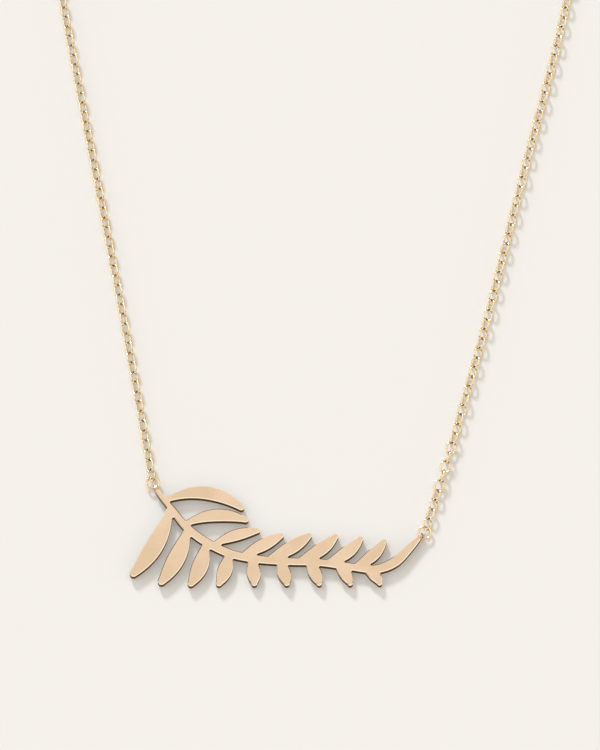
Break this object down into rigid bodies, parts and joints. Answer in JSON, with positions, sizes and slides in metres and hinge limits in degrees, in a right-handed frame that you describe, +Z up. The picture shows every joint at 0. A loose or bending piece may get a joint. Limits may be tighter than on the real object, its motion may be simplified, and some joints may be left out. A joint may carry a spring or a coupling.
{
  "type": "nameplate necklace",
  "caption": "Fine cable chain necklace with a pierced flat metal plate of leaves held between two jump rings, closed by a ring clasp.",
  "frame": {"origin": "middle of the necklace's outline, on the surface that it lies on", "axes": "+Z up from the surface, +Y from the plate towards the clasp, +X along the plate towards its low end"},
  "size_m": [0.0783, 0.1982, 0.0028],
  "materials": {
    "plate_gold": "polished flat front with fine satin lines, bright rounded edge",
    "wire_gold": "polished round wire",
    "chain_gold": "polished round wire",
    "clasp_gold": "polished tube"
  },
  "bodies": {
    "root": {"nameplate": "plate_gold", "jump_ring_left": "wire_gold", "jump_ring_right": "wire_gold", "chain_left": "chain_gold", "chain_right": "chain_gold", "end_ring": "wire_gold", "clasp": "clasp_gold"}
  },
  "joints": []
}
